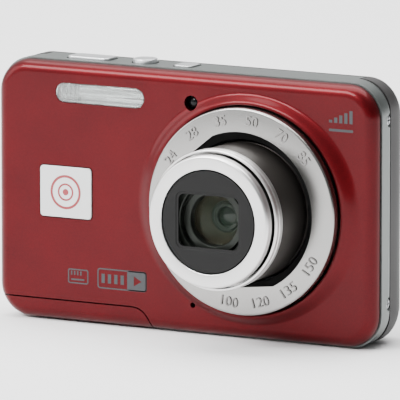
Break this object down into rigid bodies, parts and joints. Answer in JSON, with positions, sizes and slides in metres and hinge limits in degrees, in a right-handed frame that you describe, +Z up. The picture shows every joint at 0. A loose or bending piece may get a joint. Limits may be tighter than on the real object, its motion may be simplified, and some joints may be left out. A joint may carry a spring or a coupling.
{
  "type": "compact digital camera",
  "caption": "Pocket digital camera with a red front, a telescoping zoom lens with a barrier, a flash, a rear screen and keys, and a hinged battery door.",
  "frame": {"origin": "on the flat base, below the middle of the body's width and on the middle of its depth behind the front face", "axes": "+X to the right seen from the front, +Y from the front face to the back, +Z up"},
  "size_m": [0.0914, 0.0374, 0.0574],
  "materials": {
    "red_paint": "metallic red lacquer under a clear coat",
    "band_metal": "satin grey",
    "shell_plastic": "fine moulded grain",
    "bright_metal": "spun and polished",
    "dark_metal": "dark anodised satin",
    "black_plastic": "satin",
    "seal_rubber": "matt",
    "lens_glass": "coated and polished",
    "clear_plastic": "polished",
    "reflector_mirror": "bright",
    "steel": "plain",
    "brass": "turned",
    "key_plastic": "satin paint",
    "circuit_board": "solder mask",
    "cell_case": "printed sleeve"
  },
  "bodies": {
    "camera_body": {"front_cover": "red_paint", "mid_band": "band_metal", "rear_cover": "shell_plastic", "lens_trim_ring": "bright_metal", "badge_plate": "bright_metal", "lens_housing": "black_plastic", "battery_bay": "black_plastic", "barrel_seal": "seal_rubber", "flash_tube": "lens_glass", "flash_window": "clear_plastic", "assist_lamp": "clear_plastic", "screen_window": "clear_plastic", "flash_reflector": "reflector_mirror", "door_hinge_pin": "steel", "strap_bar": "steel", "side_screw_1": "steel", "side_screw_2": "steel", "side_screw_3": "steel", "side_screw_4": "steel", "focus_rail_1": "steel", "focus_rail_2": "steel", "zoom_motor": "steel", "usb_socket": "steel", "screen_module": "steel", "tripod_bush": "brass", "main_board": "circuit_board", "key_board": "circuit_board", "image_sensor": "circuit_board", "battery": "cell_case", "memory_card": "cell_case", "flash_capacitor": "cell_case", "speaker": "cell_case"},
    "middle_barrel": {"middle_barrel": "dark_metal"},
    "inner_barrel": {"inner_barrel": "dark_metal", "nose_ring": "bright_metal", "lens_plate": "black_plastic", "lens_cell": "dark_metal", "front_lens": "lens_glass", "shutter_unit": "black_plastic", "rear_lens": "lens_glass"},
    "blade_upper": {"barrier_blade_upper": "black_plastic"},
    "blade_lower": {"barrier_blade_lower": "black_plastic"},
    "cam_ring": {"cam_ring": "dark_metal"},
    "zoom_gear": {"zoom_gear": "brass"},
    "focus_carriage": {"focus_carriage": "black_plastic", "focus_lens": "lens_glass"},
    "zoom_rocker": {"zoom_rocker": "bright_metal"},
    "shutter_button": {"shutter_button": "bright_metal"},
    "power_button": {"power_button": "bright_metal"},
    "video_button": {"video_button": "key_plastic"},
    "menu_button": {"menu_button": "key_plastic"},
    "play_button": {"play_button": "key_plastic"},
    "delete_button": {"delete_button": "key_plastic"},
    "display_button": {"display_button": "key_plastic"},
    "nav_gimbal": {"nav_gimbal": "black_plastic"},
    "nav_ring": {"nav_ring": "key_plastic"},
    "set_button": {"set_button": "key_plastic"},
    "battery_door": {"battery_door": "red_paint"},
    "door_latch": {"door_latch": "black_plastic"},
    "usb_cover": {"usb_cover": "shell_plastic"}
  },
  "joints": [
    {"name": "zoom_slide", "type": "slide", "parent": "camera_body", "child": "middle_barrel", "axis": [0, 1, 0], "range_m": [0, 0.0119]},
    {"name": "nose_slide", "type": "slide", "parent": "middle_barrel", "child": "inner_barrel", "axis": [0, 1, 0], "range_m": [-0.007, 0.0021]},
    {"name": "blade_upper_slide", "type": "slide", "parent": "inner_barrel", "child": "blade_upper", "axis": [0, 0, -1], "range_m": [0, 0.0056]},
    {"name": "blade_lower_slide", "type": "slide", "parent": "inner_barrel", "child": "blade_lower", "axis": [0, 0, 1], "range_m": [0, 0.0056]},
    {"name": "cam_turn", "type": "hinge", "parent": "camera_body", "child": "cam_ring", "pos_m": [0.0157, 0, 0.0281], "axis": [0, 1, 0], "range_deg": [0, 106]},
    {"name": "zoom_gear_turn", "type": "hinge", "parent": "camera_body", "child": "zoom_gear", "pos_m": [0.002, 0, 0.0144], "axis": [0, 1, 0], "range_deg": [-705, 0]},
    {"name": "focus_slide", "type": "slide", "parent": "camera_body", "child": "focus_carriage", "axis": [0, 1, 0], "range_m": [0, 0.007]},
    {"name": "zoom_rocker_tilt", "type": "hinge", "parent": "camera_body", "child": "zoom_rocker", "pos_m": [-0.026, -0.0006, 0.0549], "axis": [0, 1, 0], "range_deg": [-4, 4], "stiffness_Nm_per_rad": 0.06},
    {"name": "shutter_button_press", "type": "slide", "parent": "camera_body", "child": "shutter_button", "axis": [0, 0, -1], "range_m": [0, 0.0008], "stiffness_N_per_m": 400},
    {"name": "power_button_press", "type": "slide", "parent": "camera_body", "child": "power_button", "axis": [0, 0, -1], "range_m": [0, 0.0004], "stiffness_N_per_m": 400},
    {"name": "video_button_press", "type": "slide", "parent": "camera_body", "child": "video_button", "axis": [0, -1, 0], "range_m": [0, 0.0004], "stiffness_N_per_m": 400},
    {"name": "menu_button_press", "type": "slide", "parent": "camera_body", "child": "menu_button", "axis": [0, -1, 0], "range_m": [0, 0.0004], "stiffness_N_per_m": 400},
    {"name": "play_button_press", "type": "slide", "parent": "camera_body", "child": "play_button", "axis": [0, -1, 0], "range_m": [0, 0.0004], "stiffness_N_per_m": 400},
    {"name": "delete_button_press", "type": "slide", "parent": "camera_body", "child": "delete_button", "axis": [0, -1, 0], "range_m": [0, 0.0004], "stiffness_N_per_m": 400},
    {"name": "display_button_press", "type": "slide", "parent": "camera_body", "child": "display_button", "axis": [0, -1, 0], "range_m": [0, 0.0004], "stiffness_N_per_m": 400},
    {"name": "nav_tilt_vertical", "type": "hinge", "parent": "camera_body", "child": "nav_gimbal", "pos_m": [-0.0302, 0.0084, 0.0245], "axis": [1, 0, 0], "range_deg": [-2.2, 2.2], "stiffness_Nm_per_rad": 0.04},
    {"name": "nav_tilt_side", "type": "hinge", "parent": "nav_gimbal", "child": "nav_ring", "pos_m": [-0.0302, 0.0084, 0.0245], "axis": [0, 0, 1], "range_deg": [-2.2, 2.2], "stiffness_Nm_per_rad": 0.04},
    {"name": "set_button_press", "type": "slide", "parent": "camera_body", "child": "set_button", "axis": [0, -1, 0], "range_m": [0, 0.0004], "stiffness_N_per_m": 400},
    {"name": "battery_door_hinge", "type": "hinge", "parent": "camera_body", "child": "battery_door", "pos_m": [-0.026, 0.0044, 0.00105], "axis": [1, 0, 0], "range_deg": [0, 95]},
    {"name": "door_latch_slide", "type": "slide", "parent": "battery_door", "child": "door_latch", "axis": [-1, 0, 0], "range_m": [0, 0.0024]},
    {"name": "usb_cover_hinge", "type": "hinge", "parent": "camera_body", "child": "usb_cover", "pos_m": [-0.04435, 0.0015, 0.0278], "axis": [0, 0, 1], "range_deg": [0, 95]}
  ],
  "couplings": [
    {"joint": "blade_upper_slide", "follows": "zoom_slide", "ratio": 0.47},
    {"joint": "blade_lower_slide", "follows": "zoom_slide", "ratio": 0.47},
    {"joint": "focus_slide", "follows": "zoom_slide", "ratio": 0.588},
    {"joint": "cam_turn", "follows": "zoom_slide", "rad_per_m": 154},
    {"joint": "zoom_gear_turn", "follows": "zoom_slide", "rad_per_m": -1031.8}
  ]
}
